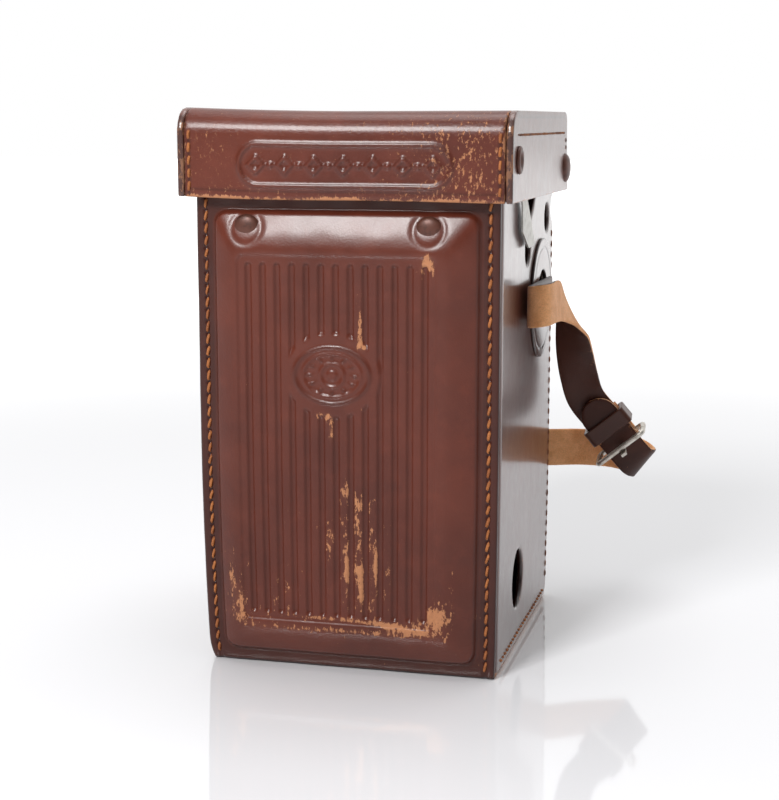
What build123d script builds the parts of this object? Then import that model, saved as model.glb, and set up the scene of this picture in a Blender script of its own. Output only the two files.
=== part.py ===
"""Leather ever-ready case of a twin lens reflex camera, in millimetres.

The row frame has its origin at the centre of the base, on the surface the case stands on: +X to the
viewer's right, -Y to the front, +Z up. A sewn leather box is closed by a hinged lid with two sprung
steel catch arms, and a buckled carrying strap swivels on a stud in each side wall.
"""
import os

from build123d import *

os.makedirs("parts", exist_ok=True)

# ---- driving dimensions ----------------------------------------------------------------------
WIDTH = 86.0              # sewn box, outside
DEPTH = 90.0
LEATHER = 2.0
BODY_TOP = 147.0          # rim of the box, inside the lid
LID_BOTTOM = 132.0
LID_TOP = 156.0
LID_SIDE = 3.6            # how far the lid stands out past the box
LID_FRONT = 4.2
LID_REAR = 3.3
LINING = 0.8
CLEAR = 0.1

HALF_W = WIDTH / 2
HALF_D = DEPTH / 2
INNER_W = HALF_W - LEATHER
INNER_D = HALF_D - LEATHER
FLANGE = 7.0              # turned-in seam allowance
LINING_X = INNER_W - 3.0  # inner linings cover the seam allowances
LID_X = HALF_W + LID_SIDE
LID_INNER_X = LID_X - LEATHER
LID_Y0 = -HALF_D - LID_FRONT
LID_Y1 = HALF_D + LID_REAR

# pressed front field
FIELD_W, FIELD_H = 76.0, 126.0
FIELD_Z = 67.0
FIELD_RISE = 3.4
FIELD_TAPER = 64.0
RIB_COUNT = 12
RIB_PITCH = 4.15
RIB_X = -1.7
RIB_Z0, RIB_Z1 = 16.5, 115.0
GROOVE_W, GROOVE_DEEP = 1.5, 0.6
BADGE_X, BADGE_Z = -2.6, 84.6
BADGE_W, BADGE_H = 22.5, 16.0
FRONT_RIVET_X = (-27.4, 23.8)
FRONT_RIVET_Z = 124.4
RIVET_SEAT = 2.2          # the rivets' flat seats stand this far out of the margin

# side walls: (y, z, radius) of the round holes
KNOB_HOLE = (-10.0, 20.0, 8.6)
WINDER_HOLE = (-2.0, 137.0, 12.2)
SIDE_HOLES = [(-1.0, 116.5, 4.6), (32.2, 124.0, 4.2), (44.6, 126.2, 3.6)]
LUG_Y, LUG_Z = 22.0, 100.0
LUG_HOLE_R = 8.5
RING_R, RING_LINE_R, RING_T = 18.2, 15.4, 0.8

# carrying strap
STRAP_W, STRAP_T = 12.0, 1.4
STRAP_X = HALF_W + 1.9
STUD_R = 2.0

# seams: thread stitches
THREAD_R = 0.36
STITCH = 2.5
PITCH = 3.4

# lid hardware
CATCH_Y, CATCH_Z = -40.5, 143.0
CATCH_T, CATCH_W = 0.5, 9.0
CATCH_X = LID_INNER_X - CLEAR - CATCH_T   # inner face of the arm
CATCH_BLADE = [(-43.2, 139.4), (-24.0, 133.5), (-20.3, 130.0), (-19.5, 122.4), (-9.5, 117.4), (1.0, 117.8),
               (-5.5, 124.5), (-12.5, 131.0), (-17.0, 136.0), (-38.0, 146.7)]   # (y, z) corners of the arm behind its rivet
RIVET_R, RIVET_SHANK = 3.7, 1.5
REAR_RIVET_Y, REAR_RIVET_Z = 43.4, 138.7
HINGE_Y, HINGE_Z = 47.8, 131.0
HINGE_W, HINGE_T = 70.0, 1.4


def save(part, name):
    """Writes one labelled STEP file; its name is the node's name."""
    part.label = name
    export_step(part, f"parts/{name}.step")


def side_plane(sign, x):
    """Plane facing outwards on the side named by sign, x mm from the middle: local x is +Y on the right
    side and -Y on the left, local y is +Z."""
    return Plane(origin=(sign * x, 0, 0), x_dir=(0, sign, 0), z_dir=(sign, 0, 0))


# ---- box ---------------------------------------------------------------------------------------
def front_panel():
    """Front leather: flat margins, a pressed field that stands proud, ribs and a plain oval badge."""
    with BuildPart() as front:
        with BuildSketch(Plane.XZ.offset(INNER_D)):
            with Locations((0, BODY_TOP / 2)):
                Rectangle(WIDTH, BODY_TOP)
        extrude(amount=LEATHER)
        with BuildSketch(Plane.XZ.offset(HALF_D)):
            with Locations((0, FIELD_Z)):
                RectangleRounded(FIELD_W, FIELD_H, 5)
        extrude(amount=FIELD_RISE, taper=FIELD_TAPER)
        face_y = HALF_D + FIELD_RISE
        rib_mid = (RIB_Z0 + RIB_Z1) / 2
        with BuildSketch(Plane.XZ.offset(face_y)):
            for i in range(RIB_COUNT + 1):
                x = RIB_X + (i - RIB_COUNT / 2) * RIB_PITCH
                with Locations((x, rib_mid)):
                    SlotOverall(RIB_Z1 - RIB_Z0, GROOVE_W, rotation=90)
            with Locations((BADGE_X, BADGE_Z)):
                Ellipse(BADGE_W / 2 + 2, BADGE_H / 2 + 3, mode=Mode.SUBTRACT)
            with Locations((BADGE_X, BADGE_Z)):
                Ellipse(BADGE_W / 2, BADGE_H / 2)
                Ellipse(BADGE_W / 2 - 1.0, BADGE_H / 2 - 1.0, mode=Mode.SUBTRACT)
                Circle(3.6)
                Circle(2.8, mode=Mode.SUBTRACT)
        extrude(amount=-GROOVE_DEEP, mode=Mode.SUBTRACT)
        with BuildSketch(Plane.XZ.offset(INNER_D)):
            with Locations((0, FIELD_Z)):
                RectangleRounded(FIELD_W - 4, FIELD_H - 4, 4)
        extrude(amount=FIELD_RISE, taper=FIELD_TAPER, mode=Mode.SUBTRACT)
        seats = [(x, FRONT_RIVET_Z) for x in FRONT_RIVET_X]
        for start, amount, radius, mode in ((INNER_D, LEATHER + RIVET_SEAT, 4.2, Mode.ADD),
                                            (HALF_D + RIVET_SEAT, 4, 4.2, Mode.SUBTRACT),
                                            (INNER_D - 1, 8, RIVET_SHANK, Mode.SUBTRACT)):
            with BuildSketch(Plane.XZ.offset(start)):
                with Locations(*seats):
                    Circle(radius)
            extrude(amount=amount, mode=mode)
    save(front.part, "front_panel")


def side_panel(sign, name, holes):
    """Side leather with its turned-in front seam allowance and round holes."""
    with BuildPart() as side:
        with BuildSketch(side_plane(sign, INNER_W)):
            with Locations((sign * 1.0, BODY_TOP / 2)):
                Rectangle(DEPTH - LEATHER, BODY_TOP)
        extrude(amount=LEATHER)
        rear = side.edges().filter_by(Axis.X).group_by(Axis.Z)[0].sort_by(Axis.Y)[-1]
        fillet(rear, 4.0)
        with BuildSketch(Plane.XZ.offset(INNER_D - LEATHER)):
            with Locations((sign * (INNER_W - FLANGE / 2), (BODY_TOP + LEATHER) / 2)):
                Rectangle(FLANGE, BODY_TOP - LEATHER)
        extrude(amount=LEATHER)
        corner = side.edges().filter_by(Axis.Z).sort_by(
            lambda e: (e.center() - Vector(sign * HALF_W, -INNER_D, BODY_TOP / 2)).length)[0]
        fillet(corner, 1.6)
        with BuildSketch(side_plane(sign, INNER_W)):
            for y, z, radius in holes:
                with Locations((sign * y, z)):
                    Circle(radius)
        extrude(amount=LEATHER, mode=Mode.SUBTRACT)
    save(side.part, name)


def back_panel():
    """Back leather; its seam allowances turn forward inside the side walls."""
    with BuildPart() as back:
        with BuildSketch(Plane.XY.offset(LEATHER)):
            with Locations((0, HALF_D - LEATHER / 2)):
                Rectangle(2 * INNER_W, LEATHER)
            with Locations((INNER_W - LEATHER / 2, INNER_D - FLANGE / 2),
                           (-INNER_W + LEATHER / 2, INNER_D - FLANGE / 2)):
                Rectangle(LEATHER, FLANGE)
        extrude(amount=BODY_TOP - LEATHER)
    save(back.part, "back_panel")


def base_panel():
    """Base leather; its seam allowances turn up inside the side walls, clear of the back's."""
    with BuildPart() as base:
        with BuildSketch(Plane.XZ.offset(INNER_D)):
            with Locations((0, LEATHER / 2)):
                Rectangle(2 * INNER_W, LEATHER)
        extrude(amount=-(DEPTH - LEATHER))
        fillet(base.edges().filter_by(Axis.X).group_by(Axis.Z)[0].sort_by(Axis.Y)[-1], LEATHER - 0.2)
        with BuildSketch(Plane.XZ.offset(INNER_D - LEATHER)):
            with Locations((INNER_W - LEATHER / 2, LEATHER + FLANGE / 2),
                           (-INNER_W + LEATHER / 2, LEATHER + FLANGE / 2)):
                Rectangle(LEATHER, FLANGE)
        extrude(amount=-(2 * INNER_D - LEATHER - FLANGE - CLEAR))
    save(base.part, "base_panel")


def linings():
    """Felt sheets glued inside each wall."""
    z0, z1 = LEATHER + 0.2 + LINING, BODY_TOP - 1
    span_y = (-INNER_D + LEATHER + 1.0, INNER_D - 1.0)
    for sign, name in ((1, "right_lining"), (-1, "left_lining")):
        with BuildPart() as lining:
            with BuildSketch(side_plane(sign, LINING_X)):
                with Locations((sign * sum(span_y) / 2, (z0 + z1) / 2)):
                    Rectangle(span_y[1] - span_y[0], z1 - z0)
                for y, z, radius in [KNOB_HOLE, WINDER_HOLE]:
                    with Locations((sign * y, z)):
                        Circle(radius + 0.6, mode=Mode.SUBTRACT)
            extrude(amount=LINING)
        save(lining.part, name)
    for y, name in ((-INNER_D + LEATHER + 0.1, "front_lining"), (INNER_D - 0.1 - LINING, "back_lining")):
        with BuildPart() as lining:
            with Locations((0, y, z0)):
                Box(2 * LINING_X - 0.2, LINING, z1 - z0, align=(Align.CENTER, Align.MIN, Align.MIN))
        save(lining.part, name)
    with BuildPart() as lining:
        with Locations((0, -INNER_D + LEATHER + 0.1, LEATHER + 0.1)):
            Box(2 * LINING_X, 2 * INNER_D - LEATHER - 0.2, LINING, align=(Align.CENTER, Align.MIN, Align.MIN))
    save(lining.part, "base_lining")


def lugs():
    """Per side: reinforcing ring, blackened plate behind the lug hole, and the stud the strap turns on."""
    for sign, side in ((1, "right"), (-1, "left")):
        with BuildPart() as ring:
            with BuildSketch(side_plane(sign, HALF_W)):
                with Locations((sign * LUG_Y, LUG_Z)):
                    Circle(RING_R)
                    Circle(LUG_HOLE_R, mode=Mode.SUBTRACT)
            extrude(amount=RING_T)
            with BuildSketch(side_plane(sign, HALF_W + RING_T)):
                with Locations((sign * LUG_Y, LUG_Z)):
                    Circle(RING_LINE_R + 0.3)
                    Circle(RING_LINE_R - 0.3, mode=Mode.SUBTRACT)
            extrude(amount=-0.3, mode=Mode.SUBTRACT)
        save(ring.part, f"{side}_lug_ring")
        with BuildPart() as plate:
            with BuildSketch(side_plane(sign, LINING_X + LINING + 0.2)):
                with Locations((sign * LUG_Y, LUG_Z)):
                    Circle(13)
                    Circle(STUD_R, mode=Mode.SUBTRACT)
            extrude(amount=INNER_W - LINING_X - LINING - 0.3)
        save(plate.part, f"{side}_lug_plate")
        with BuildPart() as stud:
            for x, length, radius in ((LINING_X + LINING + 0.2, 9.0, STUD_R),
                                      (INNER_W - 0.1, 3.1, 3.4),
                                      (STRAP_X + STRAP_T / 2 + 0.15, 1.2, 4.4)):
                with BuildSketch(side_plane(sign, x)):
                    with Locations((sign * LUG_Y, LUG_Z)):
                        Circle(radius)
                extrude(amount=length)
        save(stud.part, f"{side}_lug_stud")


def rivets(name, plane, points, head_r, rise, grip, tail_r=2.6, tail=0.5):
    """A node of identical domed rivets set in plane at points."""
    ball_r = (head_r ** 2 + rise ** 2) / (2 * rise)
    with BuildPart() as group:
        for u, v in points:
            axis = Plane(origin=plane.from_local_coords((u, v, 0)), x_dir=plane.x_dir, z_dir=plane.z_dir)
            with BuildSketch(Plane(origin=axis.origin, x_dir=axis.x_dir, z_dir=-axis.y_dir)):
                with BuildLine():
                    dome = RadiusArc((0, rise), (head_r, 0), ball_r)
                    Polyline(dome @ 1, (RIVET_SHANK, 0), (RIVET_SHANK, -grip), (tail_r, -grip),
                             (tail_r, -grip - tail), (0, -grip - tail), (0, rise))
                make_face()
            revolve(axis=Axis(axis.origin, axis.z_dir))
    save(group.part, name)


# ---- thread ------------------------------------------------------------------------------------
def stitch_run(start, end, pitch=PITCH):
    """Places of the stitches of a straight seam, evenly spaced, with the seam's direction."""
    run = Vector(*end) - Vector(*start)
    count = max(1, round(run.length / pitch))
    return [(Vector(*start) + run * ((i + 0.5) / count), run.normalized()) for i in range(count)]


def seam(name, runs, stitch=STITCH):
    """A node of thread stitches, each a rod with round ends lying on the leather."""
    with BuildPart() as thread:
        for start, end in runs:
            for middle, along in stitch_run(start, end):
                with Locations(Plane(origin=middle, z_dir=along)):
                    Cylinder(THREAD_R, stitch)
    save(thread.part, name)


def box_seams():
    """Front seams lie on the front margins; side seams follow the base and the back of each wall."""
    lift = THREAD_R + 0.02
    for sign, side in ((1, "right"), (-1, "left")):
        x = sign * (HALF_W - 2.9)
        seam(f"{side}_front_seam", [((x, -HALF_D - lift, 3), (x, -HALF_D - lift, BODY_TOP - 8))])
        wall = sign * (HALF_W + lift)
        seam(f"{side}_edge_seam", [((wall, -37, 3.2), (wall, HALF_D - 6, 3.2)),
                                   ((wall, HALF_D - 2.6, 6), (wall, HALF_D - 2.6, LID_BOTTOM - 12))])


# ---- lid ---------------------------------------------------------------------------------------
def lid_outline(inset, bottom):
    """Lid section in the YZ plane: a soft front edge, a tighter rear edge, flat below."""
    y0, y1, top = LID_Y0 + inset, LID_Y1 - inset, LID_TOP - inset
    front_r, rear_r = 7.0 - inset, 3.5 - inset
    with BuildSketch(Plane.YZ) as section:
        with BuildLine():
            Line((y0, bottom), (y0, top - front_r))
            RadiusArc((y0, top - front_r), (y0 + front_r, top), front_r)
            Line((y0 + front_r, top), (y1 - rear_r, top))
            RadiusArc((y1 - rear_r, top), (y1, top - rear_r), rear_r)
            Polyline((y1, top - rear_r), (y1, bottom), (y0, bottom))
        make_face()
    return section.sketch


def lid():
    """Lid leather: one wrap over front, top and rear, closed by two cheeks."""
    with BuildPart() as wrap:
        extrude(lid_outline(0, LID_BOTTOM), amount=LID_INNER_X, both=True)
        extrude(lid_outline(LEATHER, LID_BOTTOM - 1), amount=LID_INNER_X, both=True, mode=Mode.SUBTRACT)
    save(wrap.part, "lid_wrap")
    for sign, side in ((1, "right"), (-1, "left")):
        with BuildPart() as cheek:
            section = lid_outline(0, LID_BOTTOM).moved(Location((sign * LID_INNER_X, 0, 0)))
            extrude(section, amount=LEATHER, dir=(sign, 0, 0))
            with Locations(Location((sign * LID_X, CATCH_Y, CATCH_Z), (0, 90, 0)),
                           Location((sign * LID_X, REAR_RIVET_Y, REAR_RIVET_Z), (0, 90, 0))):
                Cylinder(RIVET_SHANK, 4 * LEATHER, mode=Mode.SUBTRACT)
        save(cheek.part, f"lid_{side}_cheek")
    with BuildPart() as lining:
        with Locations((0, 0, LID_TOP - LEATHER - 0.1)):
            Box(2 * LID_INNER_X - 2, DEPTH - 10, LINING, align=(Align.CENTER, Align.CENTER, Align.MAX))
    save(lining.part, "lid_lining")


def lid_seams():
    """Thread at both ends of the lid's front, and along the top and rear of each cheek."""
    lift = THREAD_R + 0.02
    ends = [((sign * (LID_X - 3.6), LID_Y0 - lift, LID_BOTTOM + 1.5),
             (sign * (LID_X - 3.6), LID_Y0 - lift, LID_TOP - 7.5)) for sign in (1, -1)]
    seam("lid_front_seams", ends, stitch=2.0)
    for sign, side in ((1, "right"), (-1, "left")):
        x = sign * (LID_X + lift)
        seam(f"lid_{side}_seam", [((x, -42, 149.6), (x, 42, 149.6)), ((x, 45.4, 148.2), (x, 45.4, 144.2))],
             stitch=1.9)


def hinge():
    """Leather hinge in two leaves: one on the box's back, one on the lid's rear."""
    with BuildPart() as lower:
        with Locations((0, HALF_D, HINGE_Z - 0.4)):
            Box(HINGE_W, HINGE_T, 19, align=(Align.CENTER, Align.MIN, Align.MAX))
        fillet(lower.edges().filter_by(Axis.Y).group_by(Axis.Z)[0], 3)
    save(lower.part, "hinge_lower_leaf")
    with BuildPart() as upper:
        with Locations((0, LID_Y1, HINGE_Z + 0.4)):
            Box(HINGE_W, HINGE_T, 18, align=(Align.CENTER, Align.MIN, Align.MIN))
        fillet(upper.edges().filter_by(Axis.Y).group_by(Axis.Z)[-1], 3)
    save(upper.part, "hinge_upper_leaf")
    lift = THREAD_R + 0.02
    seam("hinge_lower_seam", [((-31, HALF_D + HINGE_T + lift, 115), (31, HALF_D + HINGE_T + lift, 115))])
    seam("hinge_upper_seam", [((-31, LID_Y1 + HINGE_T + lift, 146), (31, LID_Y1 + HINGE_T + lift, 146))])


def catches():
    """A flat sprung arm per side turns on the cheek's front rivet and widens to a slanted blade."""
    for sign, side in ((1, "right"), (-1, "left")):
        inner = CATCH_X if sign > 0 else -CATCH_X - CATCH_T
        with BuildPart() as arm:
            with BuildSketch(Plane.YZ.offset(inner)):
                with BuildLine():
                    Polyline(*CATCH_BLADE, close=True)
                make_face()
                with Locations((CATCH_Y, CATCH_Z)):
                    Circle(CATCH_W / 2)
                    Circle(RIVET_SHANK + 0.06, mode=Mode.SUBTRACT)
            extrude(amount=CATCH_T)
            fillet(arm.edges().filter_by(Axis.X).sort_by(Axis.Z)[:3], 1.0)
        save(arm.part, f"{side}_catch_arm")
        cheek_face = side_plane(sign, LID_X)
        rivets(f"{side}_catch_rivet", cheek_face, [(sign * CATCH_Y, CATCH_Z)], RIVET_R, 1.2,
               LEATHER + 2 * CLEAR + CATCH_T, tail_r=2.8, tail=0.45)
        rivets(f"{side}_rear_rivet", cheek_face, [(sign * REAR_RIVET_Y, REAR_RIVET_Z)], 4.6, 1.8, LEATHER,
               tail_r=2.8, tail=0.6)


# ---- strap -------------------------------------------------------------------------------------
BUCKLE = Vector(65.5, 51.0, 51.0)            # where the short strap ends on the buckle
ACROSS = Vector(0.77, 0.0, 0.63).normalized()
ALONG = Vector(0.62, 0.12, -0.775)
ALONG = (ALONG - ACROSS * ALONG.dot(ACROSS)).normalized()
GRAIN = ALONG.cross(ACROSS)                  # the strap's smooth side, towards the front
BAR_R = 0.85
FOLD_R = BAR_R + CLEAR + STRAP_T / 2
FRAME_W, FRAME_H, FRAME_BAR = 19.5, 12.0, 1.7

SHORT_STATIONS = [   # (centre, direction across the strap) from the right stud to the buckle
    ((STRAP_X, 29.0, 100.0), (0, 0, -1)),
    ((STRAP_X, -9.6, 100.6), (0, 0, -1)),
    ((45.9, -12.4, 100.8), (0, 0, -1)),
    ((48.2, -13.4, 101.2), (0, 0, -1)),
    ((50.5, -12.4, 101.5), (0, 0, -1)),
    ((51.2, -10.0, 101.6), (0, 0, -1)),
    ((51.3, -1.0, 101.4), (0.06, 0, -1)),
    ((51.4, 10.0, 100.2), (0.18, -0.35, -0.92)),
    ((52.2, 20.5, 96.2), (0.45, -0.72, -0.5)),
    ((52.0, 29.0, 89.6), (0.78, -0.58, -0.02)),
    ((51.8, 36.8, 81.4), (0.88, -0.32, 0.24)),
    ((52.4, 43.6, 72.8), (0.84, -0.12, 0.46)),
]
LONG_STATIONS = [    # from the punched tip, through the buckle and behind the box, to the left stud
    ((70.9, 51.3, 44.6), (0.75, 0.05, 0.66)),
    ((72.4, 54.8, 43.6), (0.6, 0.1, 0.79)),
    ((69.8, 59.0, 44.6), (0.35, 0.05, 0.93)),
    ((63.0, 60.6, 46.0), (0.12, 0, 0.99)),
    ((52.5, 58.6, 47.0), (0, 0, 1)),
    ((42.0, 53.4, 47.4), (0, 0, 1)),
    ((30.0, 49.8, 47.5), (0, 0, 1)),
    ((0.0, 48.6, 47.5), (0, 0, 1)),
    ((-25.0, 49.6, 49.0), (0.06, 0.05, 1)),
    ((-38.5, 52.0, 53.5), (0.45, 0.25, 0.86)),
    ((-46.5, 50.5, 61.5), (0.51, 0.65, 0.58)),
    ((-48.6, 43.0, 72.5), (0, 0.82, 0.57)),
    ((-46.6, 32.0, 87.5), (0, 0.79, 0.61)),
    ((-STRAP_X, 25.5, 95.6), (0, 0.78, 0.62)),
    ((-STRAP_X, 17.8, 105.2), (0, 0.78, 0.62)),
]


def at_buckle(along, out, across=0.0):
    """Point given by its distances along the strap, out on the smooth side and across, from the buckle."""
    return BUCKLE + ALONG * along + GRAIN * out + ACROSS * across


def ribbon(stations, thickness=STRAP_T, width=STRAP_W):
    """Straight-sided strip through stations, each a centre and the direction across the strip."""
    centres = [Vector(*c) if not isinstance(c, Vector) else c for c, _ in stations]
    last = len(centres) - 1
    sections = []
    for i, (_, across) in enumerate(stations):
        tangent = centres[min(i + 1, last)] - centres[max(i - 1, 0)]
        wide = Vector(*across) if not isinstance(across, Vector) else across
        wide = wide - tangent.normalized() * wide.dot(tangent.normalized())
        with BuildSketch(Plane(origin=centres[i], x_dir=wide, z_dir=tangent)) as section:
            Rectangle(width, thickness)
        sections.append(section.sketch)
    loft(sections, ruled=True)


def strap():
    """Short strap, long strap, keeper, buckle frame and prong."""
    slot = Plane(origin=at_buckle(0.9, -6), x_dir=ALONG, z_dir=GRAIN)
    with BuildPart() as short:
        fold = [(at_buckle(FOLD_R * a, -FOLD_R + FOLD_R * b), ACROSS)
                for a, b in ((0, 1), (0.71, 0.71), (1, 0), (0.71, -0.71), (0, -1))]
        tail = [(at_buckle(-11, -2 * FOLD_R), ACROSS)]
        ribbon(SHORT_STATIONS + [(at_buckle(-18, 0), ACROSS)] + fold + tail)
        with Locations(Location((STRAP_X, LUG_Y, LUG_Z), (0, 90, 0))):
            Cylinder(STUD_R + 0.06, 4, mode=Mode.SUBTRACT)
        with BuildSketch(slot):
            Rectangle(5.4, 2.6)
        extrude(amount=8, mode=Mode.SUBTRACT)
    save(short.part, "short_strap")
    lap = STRAP_T + 0.2
    with BuildPart() as long:
        ribbon([(at_buckle(-17, lap), ACROSS), (at_buckle(3.5, lap), ACROSS)] + LONG_STATIONS)
        with Locations(Location((-STRAP_X, LUG_Y, LUG_Z), (0, 90, 0))):
            Cylinder(STUD_R + 0.06, 4, mode=Mode.SUBTRACT)
        with BuildSketch(slot):
            Rectangle(5.4, 2.6)
        extrude(amount=9, mode=Mode.SUBTRACT)
    save(long.part, "long_strap")

    keeper_plane = Plane(origin=at_buckle(-9.5, -FOLD_R + lap / 2), x_dir=ACROSS, z_dir=ALONG)
    with BuildPart() as keeper:
        with BuildSketch(keeper_plane):
            stack = 2 * FOLD_R + lap + STRAP_T
            RectangleRounded(STRAP_W + 3.4, stack + 2.8, 1.4)
            RectangleRounded(STRAP_W + 0.6, stack + 0.5, 0.3, mode=Mode.SUBTRACT)
        extrude(amount=5.5)
    save(keeper.part, "strap_keeper")

    frame_plane = Plane(origin=at_buckle(0, -FOLD_R), x_dir=ACROSS, z_dir=ALONG)
    up = 1 if frame_plane.y_dir.dot(GRAIN) > 0 else -1
    with BuildSketch(frame_plane) as loop:
        with Locations((0, up * (FRAME_H - FRAME_BAR) / 2)):
            RectangleRounded(FRAME_W - FRAME_BAR, FRAME_H - FRAME_BAR, 1.6)
    path = loop.sketch.face().outer_wire()
    with BuildPart() as frame:
        with BuildSketch(Plane(origin=path @ 0, z_dir=path % 0)):
            Circle(BAR_R)
        sweep(path=path)
    save(frame.part, "buckle_frame")
    with BuildPart() as prong:
        with BuildSketch(Plane(origin=at_buckle(0, -FOLD_R, -1.0), x_dir=ALONG, z_dir=ACROSS)):
            Circle(BAR_R + 1.0)
            Circle(BAR_R + 0.06, mode=Mode.SUBTRACT)
        extrude(amount=2.0)
        lean = (GRAIN * 10.5 + ALONG * 1.75).normalized()
        with BuildSketch(Plane(origin=at_buckle(0.3, -FOLD_R + 1.6), x_dir=ACROSS, z_dir=lean)):
            Rectangle(1.8, 0.9)
        extrude(amount=10.6)
    save(prong.part, "buckle_prong")


front_panel()
right_holes = [KNOB_HOLE, WINDER_HOLE, (LUG_Y, LUG_Z, LUG_HOLE_R), *SIDE_HOLES]
left_holes = [KNOB_HOLE, WINDER_HOLE, (LUG_Y, LUG_Z, LUG_HOLE_R)]
side_panel(1, "right_side_panel", right_holes)
side_panel(-1, "left_side_panel", left_holes)
back_panel()
base_panel()
linings()
lugs()
rivets("front_rivets", Plane.XZ.offset(HALF_D + RIVET_SEAT), [(x, FRONT_RIVET_Z) for x in FRONT_RIVET_X],
       3.8, 1.6, LEATHER + RIVET_SEAT)
box_seams()
lid()
lid_seams()
hinge()
catches()
strap()
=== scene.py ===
"""Looks of a leather case for a twin lens reflex camera: leather skins, stitches, rivets and strap.

Lengths are in millimetres: x to the case's left and right, y from its front to its back, z up.
"""

import math

import bmesh
import bpy
import numpy as np
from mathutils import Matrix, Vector


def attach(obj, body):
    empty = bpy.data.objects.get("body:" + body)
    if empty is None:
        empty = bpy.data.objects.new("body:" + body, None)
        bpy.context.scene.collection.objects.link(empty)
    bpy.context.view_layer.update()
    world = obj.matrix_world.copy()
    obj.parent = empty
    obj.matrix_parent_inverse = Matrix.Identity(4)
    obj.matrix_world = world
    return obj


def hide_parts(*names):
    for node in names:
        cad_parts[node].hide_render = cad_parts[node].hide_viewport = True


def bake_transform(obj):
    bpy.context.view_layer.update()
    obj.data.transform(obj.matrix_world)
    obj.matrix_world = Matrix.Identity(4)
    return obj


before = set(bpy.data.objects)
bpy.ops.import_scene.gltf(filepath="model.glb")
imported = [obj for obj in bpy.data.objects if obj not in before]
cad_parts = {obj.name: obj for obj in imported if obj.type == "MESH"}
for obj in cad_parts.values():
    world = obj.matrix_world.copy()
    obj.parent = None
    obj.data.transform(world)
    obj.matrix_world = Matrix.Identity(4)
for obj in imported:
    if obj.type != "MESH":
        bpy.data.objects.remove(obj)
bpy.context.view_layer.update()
MM = 0.001                                 # scene units in a millimetre
rng = np.random.default_rng(7)             # the small unevenness of hand stitching

# The case, as its CAD pieces are dimensioned
HALF_W, FRONT_Y, FRONT_BACK_Y, FRONT_TOP = 43.0, -45.0, -43.0, 147.0
LUG_Y, LUG_Z = 22, 100
LID_HALF_W, LID_FRONT_Y = 46.6, -49.25
HINGE_Z, HINGE_HALF_W, HINGE_THICK = 131, 35, 1.25


# ---- node graphs -------------------------------------------------------------------------------
class Graph:
    """A material whose nodes are added by short calls."""

    def __init__(self, name):
        self.mat = bpy.data.materials.new(name)
        self.mat.use_nodes = True
        self.tree = self.mat.node_tree
        self.shader = self.tree.nodes["Principled BSDF"]
        coord = self.tree.nodes.new("ShaderNodeTexCoord")
        self.mm = self.vector("SCALE", coord.outputs["Object"], 1 / MM)

    def link(self, value, socket):
        """Joins a node's output to a socket, or sets the socket to a constant."""
        if isinstance(value, bpy.types.NodeSocket):
            self.tree.links.new(value, socket)
        elif socket.type == "RGBA":
            socket.default_value = (*value[:3], 1)
        else:
            socket.default_value = value

    def vector(self, operation, a, b):
        node = self.tree.nodes.new("ShaderNodeVectorMath")
        node.operation = operation
        self.link(a, node.inputs[0])
        self.link(b, node.inputs["Scale"] if operation == "SCALE" else node.inputs[1])
        return node.outputs[0]

    def math(self, operation, a, b=0.0, clamp=False):
        node = self.tree.nodes.new("ShaderNodeMath")
        node.operation = operation
        node.use_clamp = clamp
        for value, socket in zip((a, b), node.inputs):
            self.link(value, socket)
        return node.outputs[0]

    def noise(self, size, detail=4.0, rough=0.55, stretch=(1, 1, 1)):
        """Noise with features about size mm across, 0 to 1."""
        node = self.tree.nodes.new("ShaderNodeTexNoise")
        self.link(self.vector("MULTIPLY", self.mm, stretch), node.inputs["Vector"])
        for key, value in (("Scale", 1 / size), ("Detail", detail), ("Roughness", rough)):
            node.inputs[key].default_value = value
        return node.outputs["Fac"]

    def cells(self, size, feature="F1", warp=0.0):
        """Distance field of cells about size mm across, its places pushed about by warp mm."""
        node = self.tree.nodes.new("ShaderNodeTexVoronoi")
        node.feature = feature
        place = self.mm
        if warp:
            offset = self.tree.nodes.new("ShaderNodeTexNoise")
            self.link(self.mm, offset.inputs["Vector"])
            offset.inputs["Scale"].default_value = 0.5 / size
            place = self.vector("ADD", self.mm, self.vector("SCALE", offset.outputs["Color"], warp))
        self.link(place, node.inputs["Vector"])
        node.inputs["Scale"].default_value = 1 / size
        return node.outputs["Distance"]

    def ramp(self, value, low, high, out_low=0.0, out_high=1.0):
        """Smooth step of value from low to high."""
        node = self.tree.nodes.new("ShaderNodeMapRange")
        node.interpolation_type = "SMOOTHSTEP"
        for socket, number in zip(node.inputs, (value, low, high, out_low, out_high)):
            self.link(number, socket)
        return node.outputs["Result"]

    def attribute(self, name):
        node = self.tree.nodes.new("ShaderNodeAttribute")
        node.attribute_name = name
        return node.outputs["Fac"]

    def mix(self, factor, a, b):
        node = self.tree.nodes.new("ShaderNodeMix")
        node.data_type = "RGBA"
        for value, socket in ((factor, node.inputs[0]), (a, node.inputs[6]), (b, node.inputs[7])):
            self.link(value, socket)
        return node.outputs[2]

    def bump(self, height, strength, distance, normal=None):
        node = self.tree.nodes.new("ShaderNodeBump")
        node.inputs["Strength"].default_value = strength
        node.inputs["Distance"].default_value = distance * MM
        self.link(height, node.inputs["Height"])
        if normal is not None:
            self.link(normal, node.inputs["Normal"])
        return node.outputs["Normal"]

    def done(self, color, rough, normal=None, **constants):
        """Feeds the shader and returns the material; constants are shader sockets with _ for spaces."""
        self.link(color, self.shader.inputs["Base Color"])
        self.link(rough, self.shader.inputs["Roughness"])
        if normal is not None:
            self.link(normal, self.shader.inputs["Normal"])
        for key, value in constants.items():
            self.shader.inputs[key.replace("_", " ")].default_value = value
        return self.mat


WORN = (0.56, 0.235, 0.105)                # rubbed leather, its dye gone


def scaled(color, factor):
    return tuple(c * factor for c in color)


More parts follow.
